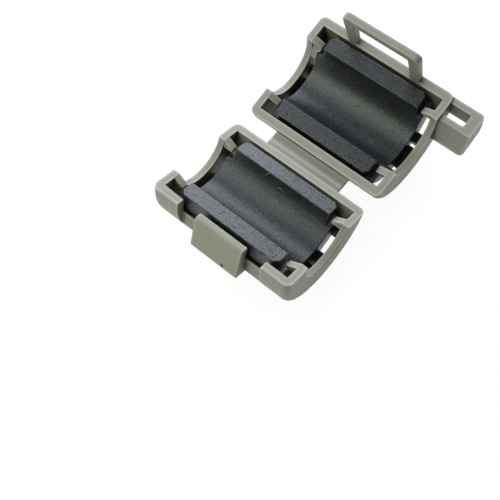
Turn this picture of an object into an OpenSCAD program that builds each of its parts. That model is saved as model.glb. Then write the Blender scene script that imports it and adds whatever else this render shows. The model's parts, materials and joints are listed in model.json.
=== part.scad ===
// Clip on ferrite bead, lying open: two half housings joined by a film hinge strap, a ferrite
// half core in each, a hook block on one side and a latch loop on the other.
// Each half is drawn in its own half frame: x along the cable from end to end, y across,
// z = 0 the rim plane through the cable axis, and the body below it. The strap is at +y on the
// hook half and at -y on the loop half. All sizes are in millimetres.

/* [Housing] */
// Length of each half housing along the cable
shell_l = 29; // [27:0.5:32]
// Outer radius of the housing
shell_r = 11.35; // [10:0.05:12.5]
// Thickness of the curved wall
wall_t = 1.65; // [1.5:0.05:1.8]
// Thickness of the two end walls
end_wall = 1.35; // [1.1:0.05:1.6]
// Radius of the cable opening in the end walls
opening_r = 5.95; // [5:0.05:6.2]
// Rounding of the outer end edges
end_round = 1.2; // [0.6:0.1:1.25]

/* [Band and windows] */
// Depth of the flat band that is cut along the bottom
band_cut = 0.49; // [0.4:0.01:0.6]
// Length of each tongue window, from the end wall inward
tongue_window_l = 8.65; // [8.3:0.05:9]
// Clear gap on each side of a tongue
tongue_side_gap = 0.82; // [0.5:0.02:1]
// Width of a tongue
tongue_w = 4.9; // [4:0.1:5.2]
// Length of a tongue from the end face to its free end
tongue_l = 8.3; // [7:0.1:8.8]
// How far a tongue's outer face sinks in from the end wall to its free end
tongue_sink = 0.5; // [0.3:0.05:0.7]
// Corner radius at a tongue's free end
tongue_round = 0.6; // [0.3:0.1:0.9]
// Gap between a tongue's pad and the core
tongue_gap = 0.06; // [0.04:0.01:0.1]
// Length of each square side window along the cable
side_window_l = 2.8; // [2:0.1:3.2]
// Start of a side window, as an angle from the bottom
side_window_a0 = 26.2; // [24:0.1:28]
// End of a side window, as an angle from the bottom
side_window_a1 = 49.7; // [44:0.1:50]

/* [Ribs] */
// How far each rib reaches in from the end face
rib_l = 3.45; // [3:0.05:3.6]
// Step from the edge of the cable opening to a rib
rib_step = 0.05; // [0.05:0.05:0.3]
// Width of a rib
rib_w = 1.35; // [1:0.05:1.6]
// Depth of a rib's underside below the rim
rib_depth = 1.6; // [1.4:0.05:1.8]
// Drop of a rib's top at its free end
rib_drop = 1.1; // [0.6:0.1:1.2]
// Depth of the foot under one rib, on the latch side at the end away from the tie tab
rib_foot_depth = 4; // [3.4:0.1:4.4]

/* [Latch loop] */
// Lean of the loop toward the cable axis
loop_lean = 4.2; // [2:0.2:4.6]
// Height of the window's top edge above the rim, along the loop
loop_window_h = 7.6; // [7.5:0.05:7.7]
// Height of the bar across the loop's free end
loop_bar = 1.8; // [1.5:0.05:1.9]
// Thickness of the loop
loop_t = 1.4; // [1.3:0.02:1.45]
// Width of the loop at its free end
loop_w = 15.8; // [15.6:0.1:16.2]
// Width of the loop at its base
loop_base_w = 15.5; // [15.2:0.1:15.8]
// Width of the window at its top edge
loop_window_w = 11.3; // [11:0.1:11.5]
// Width of the window at its base
loop_window_base_w = 11.7; // [11.6:0.1:12]
// Corner radius of the loop's free end
loop_round = 1.1; // [0.5:0.1:1.5]

/* [Hook] */
// Gap on each side between the hook block and the loop's window
hook_side_gap = 0.575; // [0.5:0.025:0.7]
// Thickness of the hook block across the wall
hook_t = 1.6; // [1.5:0.05:1.65]
// Gap between the loop and the faces that it passes over
leg_gap = 0.1; // [0.08:0.01:0.15]
// Play between the loop's bar and the catch ledge when closed
latch_play = 0.15; // [0.1:0.01:0.25]
// How far the hook block stands proud of the housing
hook_proud = 0.05; // [0.02:0.01:0.1]
// Chamfer along the hook block's top outer edge
hook_chamfer = 0.4; // [0.2:0.05:0.6]
// Gap at each side between the loop's legs and the ends of their recess
recess_end_gap = 0.9; // [0.6:0.05:0.95]
// Depth of the low wall's top below the rim
low_wall_z = 3.1; // [2.6:0.1:3.6]

/* [Tie tab] */
// Length of the tie tab past the end face
tab_l = 6.4; // [6:0.1:7.5]
// Depth of the tab's top face below the rim
tab_top = 0.5; // [0.3:0.1:0.8]
// Depth of the tab's underside at its inner side
tab_bottom_in = 6.3; // [6:0.1:6.6]
// Depth of the tab's underside at its outer side
tab_bottom_out = 5; // [4.6:0.1:5.2]
// Step from the housing's outside down to the tab's curved outer face
tab_inset = 0.06; // [0.04:0.02:0.2]
// Corner radius at the tab's free end
tab_round = 0.9; // [0.6:0.1:1.4]
// Length of the cable tie slot
slot_l = 4.3; // [4:0.1:4.6]
// Width of the slot
slot_w = 2.5; // [2.2:0.1:2.6]
// Corner radius of the slot
slot_round = 0.35; // [0.2:0.05:0.6]
// Wall on the slot's outer side, at the top
slot_outer_wall = 1.25; // [1.2:0.05:1.4]
// Wall on the slot's inner side, at the top
slot_inner_wall = 1.05; // [0.9:0.05:1.15]
// How much wider the inner wall is at the underside than at the top
tab_flare = 1.85; // [1.5:0.05:2]

/* [Strap] */
// Width of the strap along the cable
strap_w = 16.2; // [14:0.1:18]
// Thickness of the strap and of the lugs that carry it
strap_t = 0.9; // [0.7:0.05:1]
// How far each lug stands out from the housing
lug_l = 0.9; // [0.9:0.05:1.2]
// Depth of the strap's top below the rims
strap_drop = 0.95; // [0.8:0.05:1.1]
// Gap left at each film hinge between the lug and the strap
film_gap = 0.03; // [0.02:0.01:0.06]

/* [Cores] */
// Gap between each end of the pole faces and the ribs
pole_end_gap = 0.65; // [0.4:0.05:0.8]
// Gap between each long lower end of a core and the end wall
foot_end_gap = 1.5; // [1.4:0.05:1.7]
// Depth of the step from the pole faces down to the long lower ends
core_step = 2.4; // [2.2:0.1:2.8]
// How much smaller the cable bore is than the opening in the end walls
bore_step = 0.08; // [0.05:0.01:0.2]
// Gap between the cavity and the curved outside of a core
core_gap = 0.2; // [0.15:0.05:0.3]
// Gap between the cavity at the rim and a core's flat sides
core_side_gap = 0.7; // [0.6:0.05:0.8]
// How far the pole faces stand above the rim
pole_rise = 0.08; // [0.04:0.01:0.09]
// Chamfer at the four corners of a core, seen from above
core_corner = 0.8; // [0.4:0.1:1]

/* [Pose] */
// Tilt of each half, strap side down, as the bead lies open
open_tilt = 16.4; // [10:0.1:16.8]
// Gap between the two rims when the bead is closed
closed_gap = 0.2; // [0.19:0.01:0.3]

/* [Hidden] */
$fn = 96;
eps = 0.02;                                   // overlap that makes two solids one
big = 2 * shell_l;                            // larger than any piece, for cutting blocks
shell_grey = [0.66, 0.66, 0.62];
core_grey = [0.38, 0.40, 0.44];
mid_x = shell_l / 2;

cavity_r = shell_r - wall_t;
band_z = shell_r - band_cut;                  // distance from the axis to the flat band
core_r = cavity_r - core_gap;
core_side = cavity_r - core_side_gap;
core_bottom = core_side;                      // small flat along a core's bottom
pole_l = shell_l - 2 * (rib_l + pole_end_gap);
core_l = shell_l - 2 * (end_wall + foot_end_gap);
bore_r = opening_r - bore_step;

tongue_window_w = tongue_w + 2 * tongue_side_gap;
tongue_root_z = band_z - 0.06;                // outer face of a tongue at the end wall
tongue_tip_z = tongue_root_z - tongue_sink;   // outer face of a tongue at its free end
tongue_rest_z = core_bottom + tongue_gap;     // top of the pad, just under the core
tongue_pad_l = 1;                             // flat pad under the core at the free end
side_window_in = shell_r * sin(side_window_a0);
side_window_out = shell_r * sin(side_window_a1);
side_window_top = sqrt(pow(cavity_r, 2) - pow(side_window_out, 2)) - 0.15;
rib_in = opening_r + rib_step;
rib_out = rib_in + rib_w;
rib_foot_l = end_wall + foot_end_gap - 0.1;   // the foot ends just short of the core
rib_foot_r = rib_in + 0.15;                   // both ends of its inner face lie on this radius
rib_foot_top_y = sqrt(pow(rib_foot_r, 2) - pow(rib_depth - 0.2, 2));
rib_foot_low_y = sqrt(pow(rib_foot_r, 2) - pow(rib_foot_depth, 2));

loop_h = loop_window_h + loop_bar;
hook_w = loop_window_w - 2 * hook_side_gap;
hook_out = shell_r + hook_proud;
hook_in = hook_out - hook_t;
ledge_z = loop_window_h * cos(loop_lean) - loop_t * sin(loop_lean) - closed_gap - latch_play;
recess_w = loop_w + 2 * recess_end_gap;
recess_in = shell_r - loop_t / cos(loop_lean) - (low_wall_z + closed_gap) * tan(loop_lean)
    - leg_gap;                                // face behind the loop's legs, at the low wall
recess_foot_z = ledge_z - 0.05;
recess_foot_y = sqrt(pow(shell_r, 2) - pow(recess_foot_z, 2));
ledge_root_y = recess_foot_y - 0.6;           // where the ledge sinks into the wall
hook_root_y = recess_in - 0.2;                // where the block sinks into the low wall
wall_cut_y = cavity_r - wall_t;               // inner side of the cut that lowers the wall

slot_in = shell_r - slot_outer_wall - slot_w;
tab_in_top = slot_in - slot_inner_wall;
tab_in_bottom = tab_in_top - tab_flare;

lug_y = shell_r + lug_l;                      // film line, from a half's middle plane
lug_root_y = shell_r - wall_t * 0.6;          // where the lug sinks into the wall
strap_l = 2 * strap_drop + closed_gap;        // stands upright between the rims when closed
film_y = lug_y * cos(open_tilt) - strap_drop * sin(open_tilt);
film_z = -lug_y * sin(open_tilt) - strap_drop * cos(open_tilt);
axis_gap = 2 * film_y + strap_l;              // between the two cable axes as it lies open

// Places a drawing of a half where that half lies in the open bead, centred on its length.
module hook_half() rotate([-open_tilt, 0, 0]) translate([-mid_x, 0, 0]) children();
module loop_half() translate([0, axis_gap, 0]) rotate([open_tilt, 0, 0])
    translate([-mid_x, 0, 0]) children();

// A straight bar along x whose section is a y, z polygon.
module x_bar(x0, x1, section) translate([x0, 0, 0]) rotate([90, 0, 90])
    linear_extrude(x1 - x0) polygon(section);

// A straight bar along y whose section is an x, z polygon.
module y_bar(y0, y1, section) translate([0, y1, 0]) rotate([90, 0, 0])
    linear_extrude(y1 - y0) polygon(section);

// A cylinder along the cable axis.
module x_cylinder(r, x0, x1) translate([x0, 0, 0]) rotate([0, 90, 0]) cylinder(r = r, h = x1 - x0);

// The same drawing at both ends of the half.
module both_ends() {
    children();
    translate([shell_l, 0, 0]) mirror([1, 0, 0]) children();
}

// The same drawing on both sides of the middle plane.
module both_sides() {
    children();
    mirror([0, 1, 0]) children();
}

// A rectangle from the origin along +x whose two far corners are round.
module round_ended(length, width, r) {
    translate([0, -width / 2]) square([length - r, width]);
    translate([0, r - width / 2]) square([length, width - 2 * r]);
    for (side = [-1, 1]) translate([length - r, side * (width / 2 - r)]) circle(r);
}

// Outside of a whole housing: a cylinder with rounded end edges.
module outer_body() rotate([90, 0, 90]) rotate_extrude() {
    translate([0, end_round]) square([shell_r, shell_l - 2 * end_round]);
    square([shell_r - end_round, shell_l]);
    for (y = [end_round, shell_l - end_round]) translate([shell_r - end_round, y]) circle(end_round);
}

// Everything above a height, and everything below one.
module above(z) translate([-big, -big, z]) cube([3 * big, 2 * big, big]);
module below(z) translate([-big, -big, z - big]) cube([3 * big, 2 * big, big]);

// Windows cut through one end of the wall: one for the tongue and a square one on each side.
module end_windows() {
    translate([end_wall, -tongue_window_w / 2, -band_z - 1])
        cube([tongue_window_l, tongue_window_w, band_z - core_r + 1.6]);
    both_sides() translate([end_wall, side_window_in, -shell_r - 1])
        cube([side_window_l, side_window_out - side_window_in, shell_r + 1 - side_window_top]);
}

// Springy tongue that presses on the core from below, rooted in the end wall.
module tongue() intersection() {
    y_bar(-tongue_w / 2, tongue_w / 2, [
        [end_wall / 2, -tongue_root_z], [tongue_l, -tongue_tip_z], [tongue_l, -tongue_rest_z],
        [tongue_l - tongue_pad_l, -tongue_rest_z], [end_wall / 2, -cavity_r]]);
    translate([0, 0, -band_z]) linear_extrude(band_z) round_ended(tongue_l, tongue_w, tongue_round);
}

// Rib on the end wall beside the cable opening. It reaches over the step of the core.
module rib() y_bar(rib_in, rib_out, [
    [end_wall - eps, 0], [rib_l, -rib_drop], [rib_l, -rib_depth], [end_wall - eps, -rib_depth]]);

// Foot under one rib, running down beside the end of the core.
module rib_foot() difference() {
    x_bar(end_wall - eps, rib_l - 0.1, [
        [rib_out - 0.05, 0.2 - rib_depth], [rib_foot_top_y, 0.2 - rib_depth],
        [rib_foot_low_y, -rib_foot_depth], [rib_out - 0.05, -rib_foot_depth]]);
    y_bar(0, shell_r, [
        [rib_l, -rib_depth - 0.05], [rib_foot_l, 0.1 - core_step], [rib_foot_l, -shell_r],
        [shell_l / 2, -shell_r], [shell_l / 2, -rib_depth - 0.05]]);
}

// Short lug on the strap side, up to the film line.
module lug() x_bar(mid_x - strap_w / 2, mid_x + strap_w / 2, [
    [lug_root_y, -strap_drop], [lug_y - film_gap, -strap_drop],
    [lug_y - film_gap, -strap_drop - strap_t], [lug_root_y, -strap_drop - strap_t]]);

// What the two half housings have in common, with the strap side at +y.
module shell_half() {
    difference() {
        outer_body();
        above(0);
        below(-band_z);
        x_cylinder(cavity_r, end_wall, shell_l - end_wall);
        x_cylinder(opening_r, -1, shell_l + 1);
        both_ends() end_windows();
    }
    both_ends() {
        tongue();
        both_sides() rib();
    }
    lug();
}

// Cut in the latch side of the hook half: the low wall, and the recess that takes the loop's legs.
module leg_recess() x_bar(mid_x - recess_w / 2, mid_x + recess_w / 2, [
    [-wall_cut_y, 1], [-wall_cut_y, -low_wall_z], [-recess_in, -low_wall_z],
    [-recess_foot_y, -recess_foot_z], [-shell_r - 1, -recess_foot_z], [-shell_r - 1, 1]]);

// Hook block with the catch ledge underneath.
module hook_block() x_bar(mid_x - hook_w / 2, mid_x + hook_w / 2, [
    [-hook_out, -ledge_z], [-hook_out, -hook_chamfer], [-hook_out + hook_chamfer, 0],
    [-hook_in, 0], [-hook_in, -low_wall_z], [-hook_root_y, -low_wall_z - 0.2],
    [-ledge_root_y, -ledge_z]]);

module hook_shell() color(shell_grey) hook_half() {
    difference() {
        shell_half();
        leg_recess();
    }
    hook_block();
}

// Rigid middle of the strap between the two film lines.
module hinge_strap() color(shell_grey)
    translate([-strap_w / 2, film_y + film_gap, film_z - strap_t])
        cube([strap_w, strap_l - 2 * film_gap, strap_t]);

// Tab for a cable tie, standing out from the end wall on the latch side.
module tie_tab() difference() {
    intersection() {
        x_cylinder(shell_r - tab_inset, shell_l - end_wall / 2, shell_l + tab_l);
        x_bar(shell_l - end_wall / 2, shell_l + tab_l, [
            [tab_in_top, -tab_top], [shell_r, -tab_top], [shell_r, -tab_bottom_out],
            [tab_in_bottom, -tab_bottom_in]]);
        translate([0, tab_in_bottom, -shell_r]) linear_extrude(shell_r)
            translate([0, (shell_r - tab_in_bottom) / 2])
                round_ended(shell_l + tab_l, shell_r - tab_in_bottom, tab_round);
    }
    translate([shell_l, slot_in + slot_w / 2, -shell_r]) linear_extrude(shell_r)
        round_ended(slot_l, slot_w, slot_round);
}

module loop_shell() color(shell_grey) loop_half() {
    mirror([0, 1, 0]) shell_half();
    rib_foot();
    tie_tab();
}

// Outline of the latch loop: two legs from the rim and a bar across their free ends.
module loop_outline() difference() {
    intersection() {
        polygon([[-loop_base_w / 2, -1], [loop_base_w / 2, -1],
            [loop_w / 2, loop_h], [-loop_w / 2, loop_h]]);
        translate([0, -2]) rotate(90) round_ended(loop_h + 2, loop_w, loop_round);
    }
    polygon([[-loop_window_base_w / 2, -2], [loop_window_base_w / 2, -2],
        [loop_window_w / 2, loop_window_h], [-loop_window_w / 2, loop_window_h]]);
}

// The loop leans over the rim, and starts just above it.
module latch_loop() color(shell_grey) loop_half() difference() {
    translate([mid_x, shell_r, 0]) rotate([90 + loop_lean, 0, 0])
        linear_extrude(loop_t) loop_outline();
    below(eps);
}

// Outline of the pole faces from above, with clipped corners and long sides outside the core.
module pole_outline() {
    x = pole_l / 2;
    y = core_side - core_corner;
    run = core_corner + 1;
    polygon([[x, -y], [x, y], [x - run, y + run], [run - x, y + run],
        [-x, y], [-x, -y], [run - x, -y - run], [x - run, -y - run]]);
}

// Half core: a half tube with flat sides and a small flat bottom, stepped at both ends.
module core_half() difference() {
    intersection() {
        x_cylinder(core_r, mid_x - core_l / 2, mid_x + core_l / 2);
        translate([0, -core_side, -core_bottom]) cube([shell_l, 2 * core_side, core_bottom + pole_rise]);
    }
    x_cylinder(bore_r, -1, shell_l + 1);
    translate([mid_x, 0, -core_step]) linear_extrude(2 * core_step) difference() {
        square(big, center = true);
        pole_outline();
    }
}

module hook_core() color(core_grey) hook_half() core_half();
module loop_core() color(core_grey) loop_half() core_half();

hook_shell();
hinge_strap();
loop_shell();
latch_loop();
hook_core();
loop_core();
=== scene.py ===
"""Looks of a clip on ferrite bead that lies open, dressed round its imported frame.

The frame holds the solids, the joints and the real sizes. This script rounds the edges of
the moulded housing and gives it its textures, joins both halves by one bent strap, gives
the sintered half cores their pits, flecks and soft sheen, and adds two stray fibres.
"""

import json
import logging
import math
from dataclasses import dataclass
from enum import Enum
from typing import Optional, Union

import bmesh
import bpy
import numpy as np
from mathutils import Matrix, Vector
from mathutils.bvhtree import BVHTree


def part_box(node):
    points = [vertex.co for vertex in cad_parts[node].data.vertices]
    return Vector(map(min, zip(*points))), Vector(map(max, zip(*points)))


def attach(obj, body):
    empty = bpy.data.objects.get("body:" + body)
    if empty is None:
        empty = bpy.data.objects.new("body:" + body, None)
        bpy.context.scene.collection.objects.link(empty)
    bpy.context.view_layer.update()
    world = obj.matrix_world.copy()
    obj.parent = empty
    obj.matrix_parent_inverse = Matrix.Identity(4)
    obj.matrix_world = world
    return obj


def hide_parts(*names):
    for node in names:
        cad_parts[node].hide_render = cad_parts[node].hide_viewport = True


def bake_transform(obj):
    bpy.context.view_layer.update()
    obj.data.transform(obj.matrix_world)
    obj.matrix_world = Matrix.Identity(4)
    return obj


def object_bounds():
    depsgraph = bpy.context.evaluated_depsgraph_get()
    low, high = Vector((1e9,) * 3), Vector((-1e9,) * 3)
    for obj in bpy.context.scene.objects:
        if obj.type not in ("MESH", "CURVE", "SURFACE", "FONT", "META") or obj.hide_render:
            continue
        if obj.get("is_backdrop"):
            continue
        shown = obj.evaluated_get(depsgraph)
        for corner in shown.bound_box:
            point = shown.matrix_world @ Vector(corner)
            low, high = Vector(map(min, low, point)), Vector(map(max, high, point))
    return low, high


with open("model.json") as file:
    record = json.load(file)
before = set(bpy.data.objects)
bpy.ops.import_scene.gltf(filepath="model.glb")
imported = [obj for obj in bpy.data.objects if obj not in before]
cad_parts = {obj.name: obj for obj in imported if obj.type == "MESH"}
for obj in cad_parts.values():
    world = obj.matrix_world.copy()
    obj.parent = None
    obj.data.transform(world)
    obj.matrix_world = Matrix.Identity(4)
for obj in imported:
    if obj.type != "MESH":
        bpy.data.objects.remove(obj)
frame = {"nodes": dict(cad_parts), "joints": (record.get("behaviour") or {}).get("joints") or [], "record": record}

MM = 0.001
TINY = 1e-9
SHARP = math.radians(40)
Socket = bpy.types.NodeSocket
Point = tuple[float, float, float]
Colour = tuple[float, float, float]
Band = tuple[float, float]
Paint = Union[Colour, Socket]
log = logging.getLogger("ferrite_bead")

# Where a noise's value starts and ends to count, for an even and for a crisper pattern.
EVEN_BAND: Band = (0.3, 0.7)
CRISP_BAND: Band = (0.35, 0.65)

# Places of the colours among a mix node's sockets, which share their names with its values.
MIX_COLOURS_IN = (6, 7)
MIX_COLOUR_OUT = 2

# Openness of a face that counts as free, and of one that counts as a full corner.
SHELTER_BAND: Band = (0.95, 0.35)
SHELTER_RAYS = 6

# Where the stray fibres run, in the hook half's own frame and in millimetres.
FIBRE_PATHS: dict[str, tuple[Point, ...]] = {
    "short_fibre": ((-3.3, 5.73, -1.1), (-2.95, 5.80, -0.45), (-2.5, 5.82, 0.12)),
    "bent_fibre": (
        (-0.1, 5.60, -1.45), (0.35, 5.62, -1.5), (0.9, 5.60, -1.6), (1.4, 5.52, -1.9),
        (1.35, 5.44, -2.1)),
}


class Half(Enum):
    """The two halves of the bead, by the side that closes."""

    HOOK = "hook"
    LOOP = "loop"

    @property
    def body(self) -> str:
        """Name of the body that this half rides on."""
        return f"{self.value}_half"

    @property
    def strap_side(self) -> int:
        """Sign of y, in the half's own frame, on which its strap stands."""
        return 1 if self is Half.HOOK else -1


class Pose:
    """Where each half lies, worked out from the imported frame."""

    def __init__(self) -> None:
        """Reads the tilt, the saddles and the film lines from the frame."""
        joints = {joint["name"]: joint for joint in frame["joints"]}
        mounts = {mount["name"]: mount for mount in frame["record"]["mounts"]}
        self.tilt = -math.radians(joints["hook_film_hinge"]["range_deg"][0])
        self.axis = {half: Vector(mounts[f"{half.value}_saddle"]["pos_m"]) for half in Half}
        self.film = {half: Vector(joints[f"{half.value}_film_hinge"]["pos_m"]) for half in Half}

    def turn(self, half: Half) -> float:
        """Gives the half's turn about x, in radians, strap side down."""
        return -half.strap_side * self.tilt

    def place(self, half: Half) -> Matrix:
        """Gives the half's own frame, with its middle on the cable axis and the rim at z = 0."""
        return Matrix.Translation(self.axis[half]) @ Matrix.Rotation(self.turn(half), 4, "X")


@dataclass(frozen=True)
class Noise:
    """A noise texture's cells for each metre, octaves, and share of each finer octave."""

    scale: float
    detail: float
    roughness: float = 0.5


class NodeGraph:
    """A short way to write a material's nodes and their links."""

    def __init__(self, name: str, at: Optional[Vector] = None, turn: float = 0.0) -> None:
        """Starts a material that holds its output, a principled shader and coordinates.

        Args:
            name: Name of the material.
            at: Where the pattern's own origin lies, if it isn't the frame's.
            turn: Turn of the pattern about x, in radians.
        """
        self.material = bpy.data.materials.new(name)
        self.material.use_nodes = True
        self.tree = self.material.node_tree
        self.tree.nodes.clear()
        self.output = self.add("OutputMaterial")
        self.shader = self.add("BsdfPrincipled")
        self.link(self.shader.outputs["BSDF"], self.output.inputs["Surface"])
        self.coordinates = self.add("TexCoord").outputs["Object"]
        if at is not None:
            centring = self.add("Mapping", vector_type="TEXTURE")
            centring.inputs["Location"].default_value = at
            centring.inputs["Rotation"].default_value = (turn, 0.0, 0.0)
            self.link(self.coordinates, centring.inputs["Vector"])
            self.coordinates = centring.outputs["Vector"]

    def add(self, kind: str, **settings: Union[str, bool, int]) -> bpy.types.Node:
        """Adds a shader node.

        Args:
            kind: The node's type, without its prefix.
            settings: Options of the node.

        Returns:
            The node.
        """
        node = self.tree.nodes.new(f"ShaderNode{kind}")
        for key, value in settings.items():
            setattr(node, key, value)
        return node

    def link(self, source: Socket, target: Socket) -> None:
        """Joins an output socket to an input socket."""
        self.tree.links.new(source, target)

    def axis(self, name: str) -> Socket:
        """Gives one coordinate of the pattern.

        Args:
            name: X, Y or Z.

        Returns:
            The coordinate, in metres.
        """
        split = self.add("SeparateXYZ")
        self.link(self.coordinates, split.inputs["Vector"])
        return split.outputs[name]

    def noise(self, kind: Noise) -> Socket:
        """Adds a noise texture.

        Args:
            kind: Its scale, detail and roughness.

        Returns:
            The noise's value.
        """
        texture = self.add("TexNoise")
        texture.inputs["Scale"].default_value = kind.scale
        texture.inputs["Detail"].default_value = kind.detail
        texture.inputs["Roughness"].default_value = kind.roughness
        self.link(self.coordinates, texture.inputs["Vector"])
        return texture.outputs["Fac"]

    def between(self, value: Socket, low: float, high: float,
                to_low: float = 0.0, to_high: float = 1.0) -> Socket:
        """Maps a range of a value onto another range, and holds it there.

        Args:
            value: The value to map.
            low: Where the range starts.
            high: Where the range ends.
            to_low: Result at low.
            to_high: Result at high.

        Returns:
            The mapped value.
        """
        node = self.add("MapRange")
        for name, number in (("From Min", low), ("From Max", high),
                             ("To Min", to_low), ("To Max", to_high)):
            node.inputs[name].default_value = number
        self.link(value, node.inputs["Value"])
        return node.outputs["Result"]

    def mix(self, factor: Socket, low: Paint, high: Paint) -> Socket:
        """Mixes two colours by a factor.

        Args:
            factor: 0 gives the first colour, and 1 the second.
            low: A colour or a colour socket.
            high: A colour or a colour socket.

        Returns:
            The mixed colour.
        """
        node = self.add("Mix", data_type="RGBA")
        self.link(factor, node.inputs["Factor"])
        first, second = MIX_COLOURS_IN
        for socket, paint in ((node.inputs[first], low), (node.inputs[second], high)):
            if isinstance(paint, tuple):
                socket.default_value = (*paint, 1.0)
            else:
                self.link(paint, socket)
        return node.outputs[MIX_COLOUR_OUT]

    def math(self, operation: str, first: Socket, second: Union[Socket, float] = 0.0) -> Socket:
        """Adds a math node.

        Args:
            operation: What it works out.
            first: Its first value.
            second: Its second value or number, where the operation has one.

        Returns:
            The result.
        """
        node = self.add("Math", operation=operation)
        self.link(first, node.inputs[0])
        if isinstance(second, (int, float)):
            node.inputs[1].default_value = second
        else:
            self.link(second, node.inputs[1])
        return node.outputs[0]

    def every(self, *values: Socket) -> Socket:
        """Multiplies masks, so that all of them must hold.

        Args:
            values: The masks.

        Returns:
            The mask of where all of them hold.
        """
        result = values[0]
        for value in values[1:]:
            result = self.math("MULTIPLY", result, value)
        return result

    def near(self, point: Vector, radii: Vector, soft: float = 0.35) -> Socket:
        """Gives a mask that is 1 inside an oval round a point and 0 outside it.

        Args:
            point: Middle of the oval.
            radii: Its half sizes along the axes.
            soft: Share of the radius over which it fades.

        Returns:
            The mask.
        """
        mapping = self.add("Mapping", vector_type="TEXTURE")
        mapping.inputs["Location"].default_value = point
        mapping.inputs["Scale"].default_value = radii
        self.link(self.coordinates, mapping.inputs["Vector"])
        length = self.add("VectorMath", operation="LENGTH")
        self.link(mapping.outputs["Vector"], length.inputs[0])
        return self.between(length.outputs["Value"], 1.0 - soft, 1.0 + soft, 1.0, 0.0)

    def shelter(self, reach: float, share: float, inside: bool) -> Socket:
        """Gives a mask of corners.

        Args:
            reach: How far the corner may be, in metres.
            share: The mask's value in a full corner.
            inside: True finds outer edges, and False finds inner corners.

        Returns:
            0 on open faces, and up to the share in the corners.
        """
        node = self.add(
            "AmbientOcclusion", inside=inside, samples=SHELTER_RAYS, only_local=inside)
        node.inputs["Distance"].default_value = reach
        return self.between(node.outputs["AO"], *SHELTER_BAND, 0.0, share)

    def bump(self, height: Socket, depth: float) -> None:
        """Raises the surface's shading by a height.

        Args:
            height: The height, from 0 to 1.
            depth: What a height of 1 stands for, in metres.
        """
        node = self.add("Bump")
        node.inputs["Strength"].default_value = 1.0
        node.inputs["Distance"].default_value = depth
        self.link(height, node.inputs["Height"])
        self.link(node.outputs["Normal"], self.shader.inputs["Normal"])


@dataclass(frozen=True)
class Speck:
    """A small spot on a surface, in the half's own frame."""

    at: Vector
    radii: Vector
    colour: Colour = (0.060, 0.015, 0.012)


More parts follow.
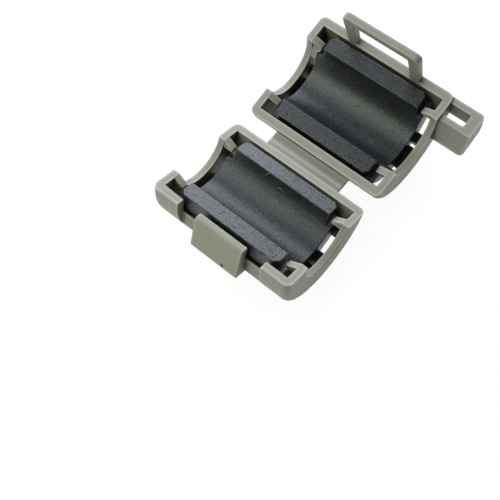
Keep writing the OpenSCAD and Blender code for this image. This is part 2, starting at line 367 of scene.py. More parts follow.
@dataclass(frozen=True)
class MouldedPlastic:
    """Finish of the housing: warm grey nylon, matt, with a sand texture round its middle.

    A reach says how far from a corner a mask goes, and a share how strong it gets.

    Attributes:
        name: Name of the material.
        at: Middle of the half's own frame. The latch and the strap have none.
        turn: The half's turn about x, in radians.
        speck: A dark spot on the surface.
        body: Main colour.
        cool: Colour of the clouds in it.
        edge_highlight_and_wear: Colour of the outer edges, a painted highlight with some wear.
        corner_shade_and_mottle: Colour of the painted shade, with some dirt, in inner corners, and of the fine
            mottle.
        hollow_shade_and_dirt: Colour of the painted shade in deep hollows, tinted brown as dirt.
        sand_reach: How far the sand texture goes from the middle, along the cable.
        sand_fade: Over what length it ends there.
        skin_radius: Radius of the round outside.
        skin_band: Where the texture comes, measured outwards from that radius.
        side_band: Where it goes again on the flat sides, measured the same way.
        rim_band: Height against the rim over which it comes.
        scatter: Share of the light that goes into the plastic.
        scatter_depth: How deep that light goes.
        scatter_colour: How far each colour of it goes.
    """

    name: str
    at: Optional[Vector] = None
    turn: float = 0.0
    speck: Optional[Speck] = None
    body: Colour = (0.408, 0.408, 0.322)
    cool: Colour = (0.436, 0.440, 0.372)
    edge_highlight_and_wear: Colour = (0.690, 0.690, 0.620)
    corner_shade_and_mottle: Colour = (0.155, 0.135, 0.095)
    hollow_shade_and_dirt: Colour = (0.105, 0.078, 0.042)
    cloud: Noise = Noise(170.0, 4.0)
    mottle: Noise = Noise(2600.0, 3.0, 0.6)
    mottle_share: float = 0.10
    edge_reach: float = 0.60 * MM
    edge_share: float = 0.95
    corner_reach: float = 0.90 * MM
    corner_share: float = 0.70
    hollow_reach: float = 3.0 * MM
    hollow_share: float = 0.80
    grain: Noise = Noise(9000.0, 3.0)
    grain_depth: float = 0.010 * MM
    sand_grain: Noise = Noise(3600.0, 2.5, 0.65)
    sand_depth: float = 0.075 * MM
    sand_reach: float = 9.0 * MM
    sand_fade: float = 0.3 * MM
    skin_radius: float = 11.35 * MM
    skin_band: Band = (-0.12 * MM, -0.04 * MM)
    side_band: Band = (0.03 * MM, 0.01 * MM)
    rim_band: Band = (-1.2 * MM, -1.5 * MM)
    roughness: Band = (0.44, 0.60)
    refraction: float = 1.5
    scatter: float = 0.06
    scatter_depth: float = 0.5 * MM
    scatter_colour: Colour = (0.9, 0.9, 0.7)

    def colour(self, graph: NodeGraph) -> Socket:
        """Builds the colour: clouds, painted highlights with wear on edges, painted shade in corners and a speck.

        The painted shade of the deep hollows, tinted brown as dirt, is left off a piece that has no pattern
        origin.

        Args:
            graph: The material's nodes.

        Returns:
            The colour.
        """
        cloud = graph.between(graph.noise(self.cloud), *EVEN_BAND)
        paint = graph.mix(cloud, self.body, self.cool)
        mottle = graph.between(graph.noise(self.mottle), *EVEN_BAND, 0.0, self.mottle_share)
        paint = graph.mix(mottle, paint, self.corner_shade_and_mottle)
        # Painted highlight with some wear: the outer edges are lightened.
        edge = graph.shelter(self.edge_reach, self.edge_share, inside=True)
        paint = graph.mix(edge, paint, self.edge_highlight_and_wear)
        # Painted shade with some dirt: the inner corners are darkened.
        corner = graph.shelter(self.corner_reach, self.corner_share, inside=False)
        paint = graph.mix(corner, paint, self.corner_shade_and_mottle)
        # Painted shade, tinted brown as dirt, darkens the deep hollows of a shell.
        if self.at is not None:
            hollow = graph.shelter(self.hollow_reach, self.hollow_share, inside=False)
            paint = graph.mix(hollow, paint, self.hollow_shade_and_dirt)
        if self.speck is not None:
            spot = graph.near(self.speck.at, self.speck.radii)
            paint = graph.mix(spot, paint, self.speck.colour)
        return paint

    def sand(self, graph: NodeGraph) -> Socket:
        """Builds the sand texture of the round outside, clear of the ends and flat faces.

        Args:
            graph: The material's nodes.

        Returns:
            The height of the texture.
        """
        across = graph.math("ABSOLUTE", graph.axis("X"))
        side = graph.math("ABSOLUTE", graph.axis("Y"))
        depth = graph.axis("Z")
        radius = graph.math("SQRT", graph.math(
            "ADD", graph.math("POWER", side, 2.0), graph.math("POWER", depth, 2.0)))
        zone = graph.every(
            graph.between(across, self.sand_reach, self.sand_reach - self.sand_fade),
            graph.between(radius, *(self.skin_radius + step for step in self.skin_band)),
            graph.between(side, *(self.skin_radius + step for step in self.side_band)),
            graph.between(depth, *self.rim_band))
        return graph.math("MULTIPLY", zone, graph.noise(self.sand_grain))

    def material(self) -> bpy.types.Material:
        """Builds the material.

        Returns:
            A material with cloudy colour, uneven gloss and a fine grain.
        """
        graph = NodeGraph(self.name, self.at, self.turn)
        graph.link(self.colour(graph), graph.shader.inputs["Base Color"])
        grain = graph.noise(self.grain)
        gloss = graph.between(grain, *EVEN_BAND, *self.roughness)
        graph.link(gloss, graph.shader.inputs["Roughness"])
        graph.shader.inputs["IOR"].default_value = self.refraction
        graph.shader.inputs["Subsurface Weight"].default_value = self.scatter
        graph.shader.inputs["Subsurface Radius"].default_value = self.scatter_colour
        graph.shader.inputs["Subsurface Scale"].default_value = self.scatter_depth
        height = graph.math("MULTIPLY", grain, self.grain_depth / self.sand_depth)
        if self.at is not None:
            height = graph.math("ADD", height, self.sand(graph))
        graph.bump(height, self.sand_depth)
        return graph.material


@dataclass(frozen=True)
class SinteredFerrite:
    """Finish of a half core: dark blue grey ceramic with flecks and shallow pits.

    Attributes:
        name: Name of the material.
        at: Middle of the half's own frame.
        turn: The half's turn about x, in radians.
        marks: Chips in the surface.
        body: Main colour.
        tint: Colour of the clouds in it.
        sheen: Colour of its reflections.
        pit: Colour of pits and holes.
        shade: Colour of the fine mottle.
        fleck: Colour of the pale grains.
        painted_edge_highlight: Colour of the painted highlight on outer edges.
        mark_fade: Share of a chip's size over which it fades.
        pit_scale: Cells for each metre, each with one pit at most.
        pit_size: Smallest and largest radius of a pit, as a share of a cell.
        pit_fade: Where a pit's rim starts and ends, as a share of its radius.
        pit_depth: Depth of a pit, as a share of the grain's depth.
        crowd_along: Stretch of x over which the pits crowd.
        crowd_share: Share of the cells that hold a pit, at the ends of that stretch.
        ground_band: Height against the rim over which the ground faces start.
        hole: Pattern of the irregular holes.
        hole_band: Where that pattern starts to show, and where it shows in full.
    """

    name: str
    at: Vector
    turn: float
    marks: tuple[Speck, ...] = ()
    body: Colour = (0.026, 0.029, 0.031)
    tint: Colour = (0.036, 0.040, 0.043)
    sheen: Colour = (0.93, 0.99, 1.0)
    pit: Colour = (0.004, 0.004, 0.005)
    shade: Colour = (0.013, 0.015, 0.016)
    fleck: Colour = (0.120, 0.124, 0.128)
    painted_edge_highlight: Colour = (0.130, 0.134, 0.142)
    cloud: Noise = Noise(260.0, 5.0)
    mottle: Noise = Noise(2300.0, 3.0, 0.6)
    mottle_band: Band = (0.38, 0.62)
    grain: Noise = Noise(4300.0, 3.0, 0.6)
    grain_depth: float = 0.070 * MM
    fleck_band: Band = (0.56, 0.72)
    fleck_share: float = 0.8
    edge_reach: float = 0.22 * MM
    edge_share: float = 0.7
    mark_fade: float = 0.6
    pit_scale: float = 1450.0
    pit_size: Band = (0.08, 0.17)
    pit_fade: Band = (0.8, 1.2)
    pit_roughness: float = 0.9
    pit_depth: float = 0.5
    crowd_along: Band = (-11.0 * MM, 3.0 * MM)
    crowd_share: Band = (0.10, 0.80)
    ground_band: Band = (-0.4 * MM, -0.1 * MM)
    hole: Noise = Noise(2080.0, 2.0, 0.4)
    hole_band: Band = (0.73, 0.76)
    roughness: Band = (0.23, 0.38)
    refraction: float = 1.72

    def pits(self, graph: NodeGraph) -> Socket:
        """Builds a mask of dark pits, which crowd towards the tab end of the ground faces.

        Args:
            graph: The material's nodes.

        Returns:
            The mask, with a few irregular holes on all faces.
        """
        cells = graph.add("TexVoronoi", voronoi_dimensions="2D")
        cells.inputs["Scale"].default_value = self.pit_scale
        graph.link(graph.coordinates, cells.inputs["Vector"])
        pick = graph.add("SeparateColor")
        graph.link(cells.outputs["Color"], pick.inputs[0])
        crowd = graph.between(graph.axis("X"), *self.crowd_along, *self.crowd_share)
        chosen = graph.math("LESS_THAN", pick.outputs[0], crowd)
        size = graph.between(pick.outputs[1], 0.0, 1.0, *self.pit_size)
        off_middle = graph.math("DIVIDE", cells.outputs["Distance"], size)
        round_pit = graph.between(off_middle, *self.pit_fade, 1.0, 0.0)
        ground = graph.between(graph.axis("Z"), *self.ground_band)
        hole = graph.between(graph.noise(self.hole), *self.hole_band)
        return graph.math("MAXIMUM", graph.every(round_pit, chosen, ground), hole)

    def material(self) -> bpy.types.Material:
        """Builds the material.

        Returns:
            A material with clouded colour, dark pits, pale flecks and a fine grain.
        """
        graph = NodeGraph(self.name, self.at, self.turn)
        cloud = graph.between(graph.noise(self.cloud), *CRISP_BAND)
        paint = graph.mix(cloud, self.body, self.tint)
        mottle = graph.between(graph.noise(self.mottle), *self.mottle_band)
        paint = graph.mix(mottle, self.shade, paint)
        grain = graph.noise(self.grain)
        flecks = graph.between(grain, *self.fleck_band, 0.0, self.fleck_share)
        paint = graph.mix(flecks, paint, self.fleck)
        # Painted highlight: the outer edges of the core are lightened.
        edge = graph.shelter(self.edge_reach, self.edge_share, inside=True)
        paint = graph.mix(edge, paint, self.painted_edge_highlight)
        for mark in self.marks:
            spot = graph.near(mark.at, mark.radii, self.mark_fade)
            paint = graph.mix(spot, paint, mark.colour)
        pits = self.pits(graph)
        graph.link(graph.mix(pits, paint, self.pit), graph.shader.inputs["Base Color"])
        gloss = graph.between(grain, *EVEN_BAND, *self.roughness)
        gloss = graph.math("MAXIMUM", gloss, graph.math("MULTIPLY", pits, self.pit_roughness))
        graph.link(gloss, graph.shader.inputs["Roughness"])
        graph.shader.inputs["IOR"].default_value = self.refraction
        graph.shader.inputs["Specular Tint"].default_value = (*self.sheen, 1.0)
        dents = graph.math("MULTIPLY", pits, self.pit_depth)
        graph.bump(graph.math("SUBTRACT", grain, dents), self.grain_depth)
        return graph.material


@dataclass(frozen=True)
class Lint:
    """Finish of a stray fibre."""

    name: str = "lint"
    pale: Colour = (0.62, 0.60, 0.40)
    dull: Colour = (0.40, 0.37, 0.22)
    streak: Noise = Noise(2500.0, 2.0)
    roughness: float = 0.6

    def material(self) -> bpy.types.Material:
        """Builds the material.

        Returns:
            A matt material with pale and dull streaks.
        """
        graph = NodeGraph(self.name)
        streaks = graph.between(graph.noise(self.streak), *CRISP_BAND)
        graph.link(graph.mix(streaks, self.pale, self.dull), graph.shader.inputs["Base Color"])
        graph.shader.inputs["Roughness"].default_value = self.roughness
        return graph.material


def add_object(name: str, data: bpy.types.ID) -> bpy.types.Object:
    """Links a new object that holds a mesh, a lamp or a camera.

    Args:
        name: Name of the piece.
        data: What it holds.

    Returns:
        The new object.
    """
    piece = bpy.data.objects.new(name, data)
    bpy.context.scene.collection.objects.link(piece)
    return piece


def to_piece(name: str, shape: bmesh.types.BMesh, finish: bpy.types.Material) -> bpy.types.Object:
    """Turns a shape into a smooth shaded piece with a finish.

    Args:
        name: Name of the piece.
        shape: The shape, in the frame's coordinates. It is freed.
        finish: Its material.

    Returns:
        The new piece.
    """
    bmesh.ops.recalc_face_normals(shape, faces=shape.faces)
    for face in shape.faces:
        face.smooth = True
    for edge in shape.edges:
        edge.smooth = edge.calc_face_angle(math.pi) < SHARP
    mesh = bpy.data.meshes.new(name)
    shape.to_mesh(mesh)
    shape.free()
    mesh.materials.append(finish)
    return add_object(name, mesh)


def cover(piece: bpy.types.Object, finish: bpy.types.Material) -> None:
    """Gives a piece one finish in place of what it had."""
    piece.data.materials.clear()
    piece.data.materials.append(finish)


def pull(shape: bmesh.types.BMesh, faces: list[bmesh.types.BMFace],
         way: Vector) -> list[bmesh.types.BMFace]:
    """Extrudes an end face and moves it.

    Args:
        shape: The shape.
        faces: Its end face.
        way: How far the new end face moves.

    Returns:
        The new end face.
    """
    grown = bmesh.ops.extrude_face_region(shape, geom=faces)["geom"]
    points = [item for item in grown if isinstance(item, bmesh.types.BMVert)]
    bmesh.ops.translate(shape, vec=way, verts=points)
    return [item for item in grown if isinstance(item, bmesh.types.BMFace)]


@dataclass(frozen=True)
class EdgeRounding:
    """How a moulded or pressed piece's edges are rounded, as far as there is room.

    Attributes:
        width: Width of the rounding where nothing is in its way.
        segments: Faces across it.
        sharp_from: Angle from which an edge is rounded.
        crisp_from: Angle from which an edge keeps sharp shading.
        flat_within: Angle up to which faces count as one.
        merge: Distance within which corners are joined.
        least: Width under which an edge is left as it is.
        share_to_sharp: Share of the room that it takes towards a sharp edge.
        share_to_flat: Share of the room that it takes towards any other edge.
        facing: How squarely an edge must lie across the face to be in the way.
        straight: How straight two edges must run on to count as one run.
        stray: Share of the width by which the rounding may leave the solid.
        turned_from: Agreement of normals under which a face counts as turned.
        least_area: Area up to which a turned triangle is let pass.
        fault_reach: Distance within which an edge is taken to cause a fault.
        tries: How often faulty edges are left sharp and the piece is tried again.
        shading_weight: How strongly large faces set the shading.
    """

    width: float
    segments: int = 3
    sharp_from: float = math.radians(28)
    crisp_from: float = math.radians(38)
    flat_within: float = math.radians(0.6)
    merge: float = 0.002 * MM
    least: float = 0.02 * MM
    share_to_sharp: float = 0.42
    share_to_flat: float = 0.85
    facing: float = 0.6
    straight: float = 0.8
    stray: float = 0.75
    turned_from: float = -0.3
    least_area: float = (0.03 * MM) ** 2
    fault_reach: float = 0.45 * MM
    tries: int = 14
    shading_weight: int = 60

    def room(self, shape: bmesh.types.BMesh, sharp: np.ndarray) -> np.ndarray:
        """Finds how far each edge can be rounded before the rounding meets another edge.

        Args:
            shape: The shape.
            sharp: Which of its edges are sharp.

        Returns:
            The width that each edge has room for.
        """
        room = np.full(len(shape.edges), self.width)
        for face in shape.faces:
            ids = np.array([loop.edge.index for loop in face.loops])
            if not sharp[ids].any():
                continue
            start = np.array([loop.vert.co for loop in face.loops])
            way = np.roll(start, -1, axis=0) - start
            length = np.maximum(np.linalg.norm(way, axis=1), TINY)
            along = way / length[:, None]
            inward = np.cross(np.array(face.normal), along)
            points = np.stack([start, start + way / 2, start + way])[:, :, None, :]
            reach = ((points - start) * along).sum(-1)
            nearest = start + along * np.clip(reach, 0.0, length)[..., None]
            gap = nearest - points
            distance = np.linalg.norm(gap, axis=-1)
            across = (gap * inward[None, :, None, :]).sum(-1)
            limit = distance * np.where(sharp[ids], self.share_to_sharp, self.share_to_flat)
            limit[(distance < self.merge) | (across < self.facing * distance)] = np.inf
            np.minimum.at(room, ids, limit.min(axis=(0, 2)))
        return room

    def runs(self, shape: bmesh.types.BMesh, sharp: np.ndarray) -> np.ndarray:
        """Numbers the runs of sharp edges that go on without a corner.

        Args:
            shape: The shape.
            sharp: Which of its edges are sharp.

        Returns:
            The number of each edge's run.
        """
        run = np.arange(len(shape.edges))
        for vert in shape.verts:
            edges = [edge for edge in vert.link_edges if sharp[edge.index]]
            ways = [(edge.other_vert(vert).co - vert.co).normalized() for edge in edges]
            for first in range(len(edges)):
                for second in range(first):
                    if ways[first].dot(ways[second]) < -self.straight:
                        pair = run[edges[first].index], run[edges[second].index]
                        run[run == max(pair)] = min(pair)
        return run

    def weigh(self, shape: bmesh.types.BMesh) -> tuple[np.ndarray, np.ndarray]:
        """Finds each edge's width, the same along each run of edges.

        Args:
            shape: The shape.

        Returns:
            The number of each edge's run, and each edge's width.
        """
        shape.edges.index_update()
        sharp = np.array([edge.calc_face_angle(0.0) > self.sharp_from for edge in shape.edges])
        run = self.runs(shape, sharp)
        tightest = np.full(len(run), self.width)
        np.minimum.at(tightest, run, self.room(shape, sharp))
        width = np.where(sharp, tightest[run], 0.0)
        return run, np.where(width > self.least, width, 0.0)

    def faults(self, piece: bpy.types.Object, tree: BVHTree) -> list[Vector]:
        """Finds where the rounding leaves the solid's surface or turns a face round.

        Args:
            piece: The piece with its modifiers.
            tree: The surface of the solid.

        Returns:
            The middles of small faulty triangles, and the corners of large ones.
        """
        rounded = piece.evaluated_get(bpy.context.evaluated_depsgraph_get())
        mesh = rounded.to_mesh()
        mesh.calc_loop_triangles()
        limit = self.stray * self.width
        astray = [tree.find_nearest(vert.co)[3] > limit for vert in mesh.vertices]
        places = []
        for triangle in mesh.loop_triangles:
            corners = [mesh.vertices[index].co.copy() for index in triangle.vertices]
            middle = (corners[0] + corners[1] + corners[2]) / 3
            _, normal, _, away = tree.find_nearest(middle)
            turned = (triangle.area > self.least_area
                      and normal.dot(triangle.normal) < self.turned_from)
            if turned or away > limit or any(astray[index] for index in triangle.vertices):
                places += [middle] if away < limit else corners
        rounded.to_mesh_clear()
        return places

    def ease(self, mesh: bpy.types.Mesh, run: np.ndarray, width: np.ndarray,
             places: list[Vector]) -> None:
        """Leaves the shortest run of edges near each fault sharp.

        Args:
            mesh: The mesh.
            run: Number of each edge's run.
            width: Each edge's width, which is changed.
            places: Where the faults are.
        """
        ends = np.array(
            [[mesh.vertices[index].co for index in edge.vertices] for edge in mesh.edges])
        start, way = ends[:, 0], ends[:, 1] - ends[:, 0]
        length = np.linalg.norm(way, axis=1)
        total = np.bincount(run, weights=length * (width > 0), minlength=len(run))
        for place in places:
            reach = ((np.array(place) - start) * way).sum(1) / np.maximum(length, TINY) ** 2
            nearest = start + way * np.clip(reach, 0.0, 1.0)[:, None]
            far = np.linalg.norm(nearest - np.array(place), axis=1)
            near = np.flatnonzero((width > 0) & (far < self.fault_reach))
            if len(near):
                width[run == run[near[np.argmin(total[run[near]])]]] = 0.0

    def copy_of(self, node: str, name: str) -> bpy.types.Object:
        """Copies a solid of the frame, rounds its edges and lets it replace the solid.

        Args:
            node: The solid's name.
            name: Name of the new piece.

        Returns:
            The rounded piece.
        """
        mesh = frame["nodes"][node].data.copy()
        mesh.name = name
        if mesh.attributes.get("custom_normal"):
            mesh.attributes.remove(mesh.attributes["custom_normal"])
        shape = bmesh.new()
        shape.from_mesh(mesh)
        bmesh.ops.remove_doubles(shape, verts=shape.verts, dist=self.merge)
        bmesh.ops.dissolve_limit(
            shape, angle_limit=self.flat_within, verts=shape.verts, edges=shape.edges,
            use_dissolve_boundaries=False)
        for face in shape.faces:
            face.smooth = True
        run, width = self.weigh(shape)
        shape.to_mesh(mesh)
        tree = BVHTree.FromBMesh(shape)
        shape.free()
        piece = add_object(name, mesh)
        bevel = piece.modifiers.new("rounded_edges", "BEVEL")
        bevel.width = self.width
        bevel.segments = self.segments
        bevel.limit_method = "WEIGHT"
        bevel.miter_outer = "MITER_ARC"
        bevel.harden_normals = False
        bevel.use_clamp_overlap = False
        share = mesh.attributes.new("bevel_weight_edge", "FLOAT", "EDGE")
        for _ in range(self.tries):
            share.data.foreach_set("value", (width / self.width).astype(np.float32))
            mesh.update()
            bpy.context.view_layer.update()
            places = self.faults(piece, tree)
            if not places:
                break
            self.ease(mesh, run, width, places)
        log.info("%s: %d faults left in the rounding", name, len(places))
        piece.data = self.settle(piece, bevel)
        weighted = piece.modifiers.new("even_shading", "WEIGHTED_NORMAL")
        weighted.keep_sharp = True
        weighted.weight = self.shading_weight
        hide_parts(node)
        return piece

    def settle(self, piece: bpy.types.Object, bevel: bpy.types.Modifier) -> bpy.types.Mesh:
        """Keeps the rounding in the mesh, with sharp shading where an edge stayed sharp.

        Args:
            piece: The piece with its rounding modifier, which is taken off.
            bevel: The modifier.

        Returns:
            The rounded mesh.
        """
        rounded = piece.evaluated_get(bpy.context.evaluated_depsgraph_get())
        mesh = bpy.data.meshes.new_from_object(rounded)
        mesh.name = piece.name
        piece.modifiers.remove(bevel)
        shape = bmesh.new()
        shape.from_mesh(mesh)
        for face in shape.faces:
            face.smooth = True
        for edge in shape.edges:
            edge.smooth = edge.calc_face_angle(0.0) < self.crisp_from
        shape.to_mesh(mesh)
        shape.free()
        return mesh


@dataclass
class Housing:
    """The plastic moulding: two half shells and the latch loop.

    Attributes:
        pose: Where the halves lie.
        rounding: How its edges are rounded.
        speck: A dark spot on the hook half.
    """

    pose: Pose
    rounding: EdgeRounding = EdgeRounding(width=0.24 * MM)
    speck: Speck = Speck(
        Vector((1.94, -11.4, -6.35)) * MM, Vector((0.28, 0.60, 0.42)) * MM)

    def shell(self, half: Half) -> bpy.types.Object:
        """Makes a half shell with rounded edges.

        Args:
            half: Which half.

        Returns:
            The shell.
        """
        piece = self.rounding.copy_of(f"{half.value}_shell", f"{half.value}_housing")
        finish = MouldedPlastic(
            f"{half.value}_plastic", self.pose.axis[half], self.pose.turn(half),
            self.speck if half is Half.HOOK else None)
        return self.dress(piece, finish, half.body)

    def latch(self) -> bpy.types.Object:
        """Makes the latch loop with rounded edges."""
        piece = self.rounding.copy_of("latch_loop", "latch_frame")
        return self.dress(piece, MouldedPlastic("latch_plastic"), "latch")

    def dress(self, piece: bpy.types.Object, finish: MouldedPlastic,
              body: str) -> bpy.types.Object:
        """Gives a piece its finish and its body.

        Args:
            piece: The piece.
            finish: Its finish.
            body: Name of the body that it rides on.

        Returns:
            The piece.
        """
        cover(piece, finish.material())
        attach(piece, body)
        return piece


@dataclass
class StrapWeb:
    """One side of the strap: from inside a housing wall, round its film line, to the middle.

    Attributes:
        pose: Where the halves lie.
        half: The half that it joins.
        finish: Its material.
        skin: How far it stands proud of the solid strap.
        corner: Radius of its section's corners.
        corner_steps: Faces round a corner.
        bend_radius: Radius of the bend at the film line.
        bend_steps: Faces along the bend.
        flex_reach: How far from the film line it would bend when a half turns. Not used.
        root: How far it runs into the housing wall.
    """

    pose: Pose
    half: Half
    finish: bpy.types.Material
    skin: float = 0.03 * MM
    corner: float = 0.26 * MM
    corner_steps: int = 3
    bend_radius: float = 4.0 * MM
    bend_steps: int = 14
    flex_reach: float = 0.35 * MM
    root: float = 1.3 * MM

    def section(self, middle: Vector, width: float, depth: float) -> bmesh.types.BMesh:
        """Makes the strap's rounded cross section, upright across y.

        Args:
            middle: Middle of the section.
            width: Its size along x.
            depth: Its size along z.

        Returns:
            A shape with one face.
        """
        shape = bmesh.new()
        bmesh.ops.create_grid(shape, x_segments=1, y_segments=1, size=0.5)
        bmesh.ops.scale(shape, vec=(width, depth, 1.0), verts=shape.verts)
        upright = Matrix.Rotation(math.radians(90), 3, "X")
        bmesh.ops.rotate(shape, matrix=upright, verts=shape.verts)
        bmesh.ops.translate(shape, vec=middle, verts=shape.verts)
        bmesh.ops.bevel(
            shape, geom=shape.verts[:], affect="VERTICES", offset=self.corner,
            segments=self.corner_steps, profile=0.5, material=-1)
        return shape

    def build(self) -> bpy.types.Object:
        """Makes the web, bent round its film line.

        Returns:
            The web.
        """
        low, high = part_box("hinge_strap")
        film = self.pose.film[self.half]
        away = -self.half.strap_side
        middle = (low + high) / 2
        width = high.x - low.x + 2 * self.skin
        depth = high.z - low.z + 2 * self.skin
        tangent = self.bend_radius * math.tan(self.pose.tilt / 2)
        shape = self.section(middle, width, depth)
        flat = abs(middle.y - film.y) - tangent
        end = pull(shape, shape.faces[:], Vector((0, away * flat, 0)))
        ends = bmesh.ops.spin(
            shape, geom=end + [edge for face in end for edge in face.edges]
            + [vert for face in end for vert in face.verts],
            cent=(0, middle.y + away * flat, high.z + self.bend_radius), axis=(1, 0, 0),
            angle=-self.half.strap_side * self.pose.tilt, steps=self.bend_steps)["geom_last"]
        end = [item for item in ends if isinstance(item, bmesh.types.BMFace)]
        slope = Vector((0, away * math.cos(self.pose.tilt), math.sin(self.pose.tilt)))
        pull(shape, end, slope * (self.root - tangent))
        piece = to_piece(f"{self.half.value}_strap_web", shape, self.finish)
        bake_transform(piece)
        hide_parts("hinge_strap")
        return piece


@dataclass
class HalfCore:
    """One sintered half core.

    Attributes:
        pose: Where the halves lie.
        half: The half that it rests in.
        rounding: How its edges are softened.
        chip: A pale chip beside the loop half's bore.
    """

    pose: Pose
    half: Half
    rounding: EdgeRounding = EdgeRounding(width=0.16 * MM)
    chip: Speck = Speck(
        Vector((-10.25, 5.78, -1.0)) * MM, Vector((0.22, 0.50, 0.45)) * MM, (0.20, 0.25, 0.23))

    def build(self) -> bpy.types.Object:
        """Makes the half core with softened edges.

        Returns:
            The core.
        """
        piece = self.rounding.copy_of(f"{self.half.value}_core", f"{self.half.value}_ferrite")
        finish = SinteredFerrite(
            f"{self.half.value}_ferrite", self.pose.axis[self.half], self.pose.turn(self.half),
            (self.chip,) if self.half is Half.LOOP else ())
        cover(piece, finish.material())
        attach(piece, self.half.body)
        return piece


@dataclass
class StrayFibre:
    """A thin fibre that lies in the hook half's bore.

    Attributes:
        name: Name of the piece.
        path: Its points in the hook half's own frame, in millimetres.
        radius: Radius of the fibre.
        sides: Faces round it.
    """

    name: str
    path: tuple[Point, ...]
    radius: float = 0.040 * MM
    sides: int = 6

    def build(self, pose: Pose, finish: bpy.types.Material) -> bpy.types.Object:
        """Makes the fibre as a thin tube along its path.

        Args:
            pose: Where the halves lie.
            finish: Its material.

        Returns:
            The fibre.
        """
        points = [pose.place(Half.HOOK) @ (Vector(point) * MM) for point in self.path]
        shape = bmesh.new()
        bmesh.ops.create_circle(
            shape, cap_ends=True, segments=self.sides, radius=self.radius)
        lay = (points[1] - points[0]).to_track_quat("Z", "Y").to_matrix().to_4x4()
        bmesh.ops.transform(shape, matrix=Matrix.Translation(points[0]) @ lay, verts=shape.verts)
        end = shape.faces[:]
        for start, stop in zip(points, points[1:]):
            end = pull(shape, end, stop - start)
        piece = to_piece(self.name, shape, finish)
        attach(piece, Half.HOOK.body)
        return piece


@dataclass(frozen=True)
class Lamp:
    """A square soft lamp that faces the object.

    Attributes:
        name: Name of the lamp.
        spot: Where it hangs, in metres.
        size: Length of its side, in metres.
        power: Its power, in watts.
        colour: Colour of its light.
    """

    name: str
    spot: Point
    size: float
    power: float
    colour: Colour

    def hang(self) -> None:
        """Adds the lamp to the scene."""
        data = bpy.data.lights.new(self.name, "AREA")
        data.size = self.size
        data.energy = self.power
        data.color = self.colour
        lamp = add_object(self.name, data)
        lamp.location = self.spot
        lamp.rotation_mode = "QUATERNION"
        lamp.rotation_quaternion = (-Vector(self.spot)).to_track_quat("-Z", "Y")


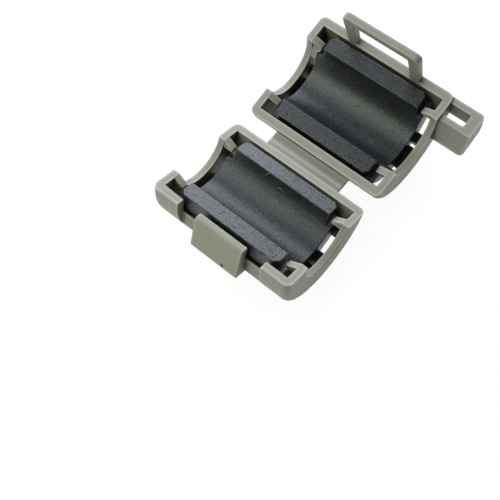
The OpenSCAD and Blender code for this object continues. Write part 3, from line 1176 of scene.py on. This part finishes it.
@dataclass
class Studio:
    """Floor, lights and camera.

    Attributes:
        heading: Direction of the view round z, from +y.
        elevation: How far the camera looks down.
        roll: The camera's turn about its view.
        camera_at: Where the camera stands, in metres.
        lens: Focal length, in millimetres.
        sensor: Width of the sensor, in millimetres.
        clip: Nearest and farthest distance that the camera sees.
        floor_size: Length of the floor's side.
        floor_colour: Colour of the floor, as the light meets it.
        floor_roughness: Roughness of the floor.
        floor_glow: Brightness of the floor to the eye, without shadow.
        floor_share: Brightness that the light adds to it and a shadow takes away.
        world_colour: Colour of the light from all round.
        world_strength: Its strength.
        lamps: The lamps.
    """

    heading: float = math.radians(41.615)
    elevation: float = math.radians(65.338)
    roll: float = math.radians(-2.042)
    camera_at: Point = (38.686 * MM, -46.838 * MM, 111.531 * MM)
    lens: float = 53.826
    sensor: float = 36.0
    clip: Band = (0.005, 20.0)
    floor_size: float = 3.0
    floor_colour: Colour = (0.8, 0.8, 0.8)
    floor_roughness: float = 0.9
    floor_glow: float = 0.95
    floor_share: float = 0.10
    world_colour: Colour = (1.0, 1.0, 1.0)
    world_strength: float = 0.04
    lamps: tuple[Lamp, ...] = (
        Lamp("key", (-0.17, 0.27, 0.19), 0.31, 1.13, (0.87, 0.90, 1.0)),
        Lamp("overhead", (-0.23, -0.10, 0.33), 0.30, 0.62, (0.96, 0.98, 1.0)),
        Lamp("front", (-0.14, -0.32, 0.26), 0.20, 0.47, (0.94, 1.0, 0.80)),
        Lamp("back", (0.20, 0.32, 0.22), 0.26, 0.18, (1.0, 1.0, 0.95)),
    )

    def camera(self) -> None:
        """Makes the camera and looks through it."""
        data = bpy.data.cameras.new("camera")
        data.lens = self.lens
        data.sensor_width = self.sensor
        data.clip_start, data.clip_end = self.clip
        camera = add_object("camera", data)
        flat = math.cos(self.elevation)
        forward = Vector((
            -math.sin(self.heading) * flat, math.cos(self.heading) * flat,
            -math.sin(self.elevation)))
        camera.rotation_mode = "QUATERNION"
        look = forward.to_track_quat("-Z", "Y").to_matrix().to_4x4()
        spin = Matrix.Rotation(self.roll, 4, "Z")
        camera.matrix_world = Matrix.Translation(self.camera_at) @ look @ spin
        bpy.context.scene.camera = camera

    def floor(self) -> None:
        """Lays a white floor under the object."""
        low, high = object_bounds()
        shape = bmesh.new()
        bmesh.ops.create_grid(shape, x_segments=1, y_segments=1, size=self.floor_size / 2)
        under = Vector(((low.x + high.x) / 2, (low.y + high.y) / 2, low.z))
        bmesh.ops.translate(shape, vec=under, verts=shape.verts)
        to_piece("floor", shape, self.paper())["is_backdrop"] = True

    def paper(self) -> bpy.types.Material:
        """Builds the floor's finish: white to the eye with a faint shadow, plain to the light.

        Returns:
            The floor's material.
        """
        graph = NodeGraph("white_floor")
        graph.shader.inputs["Base Color"].default_value = (*self.floor_colour, 1.0)
        graph.shader.inputs["Roughness"].default_value = self.floor_roughness
        share = graph.add("BsdfDiffuse")
        share.inputs["Color"].default_value = (self.floor_share,) * 3 + (1.0,)
        glow = graph.add("Emission")
        glow.inputs["Strength"].default_value = self.floor_glow
        both = graph.add("AddShader")
        graph.link(share.outputs[0], both.inputs[0])
        graph.link(glow.outputs[0], both.inputs[1])
        path = graph.add("LightPath")
        seen = graph.math("MAXIMUM", path.outputs["Is Camera Ray"], graph.math(
            "MAXIMUM", path.outputs["Is Glossy Ray"], path.outputs["Is Transmission Ray"]))
        choice = graph.add("MixShader")
        graph.link(seen, choice.inputs["Fac"])
        graph.link(graph.shader.outputs["BSDF"], choice.inputs[1])
        graph.link(both.outputs[0], choice.inputs[2])
        graph.link(choice.outputs[0], graph.output.inputs["Surface"])
        return graph.material

    def lights(self) -> None:
        """Lights the object with its soft lamps and a plain world."""
        world = bpy.data.worlds.new("world")
        world.use_nodes = True
        sky = world.node_tree.nodes["Background"]
        sky.inputs["Color"].default_value = (*self.world_colour, 1.0)
        sky.inputs["Strength"].default_value = self.world_strength
        bpy.context.scene.world = world
        for lamp in self.lamps:
            lamp.hang()


def report(piece: bpy.types.Object) -> None:
    """Says what was made."""
    log.info("%s: %d faces", piece.name, len(piece.data.polygons))


def main() -> None:
    """Builds and dresses each piece in order, then sets the stage."""
    logging.basicConfig(level=logging.INFO, format="%(message)s")
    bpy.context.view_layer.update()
    pose = Pose()
    housing = Housing(pose)
    strap_finish = MouldedPlastic("strap_plastic").material()
    for half in Half:
        report(housing.shell(half))
        report(HalfCore(pose, half).build())
        report(StrapWeb(pose, half, strap_finish).build())
    report(housing.latch())
    lint = Lint().material()
    for name, path in FIBRE_PATHS.items():
        report(StrayFibre(name, path).build(pose, lint))
    studio = Studio()
    studio.camera()
    studio.floor()
    studio.lights()
    bpy.context.scene.view_settings.view_transform = "Standard"


if __name__ == "__main__":
    main()
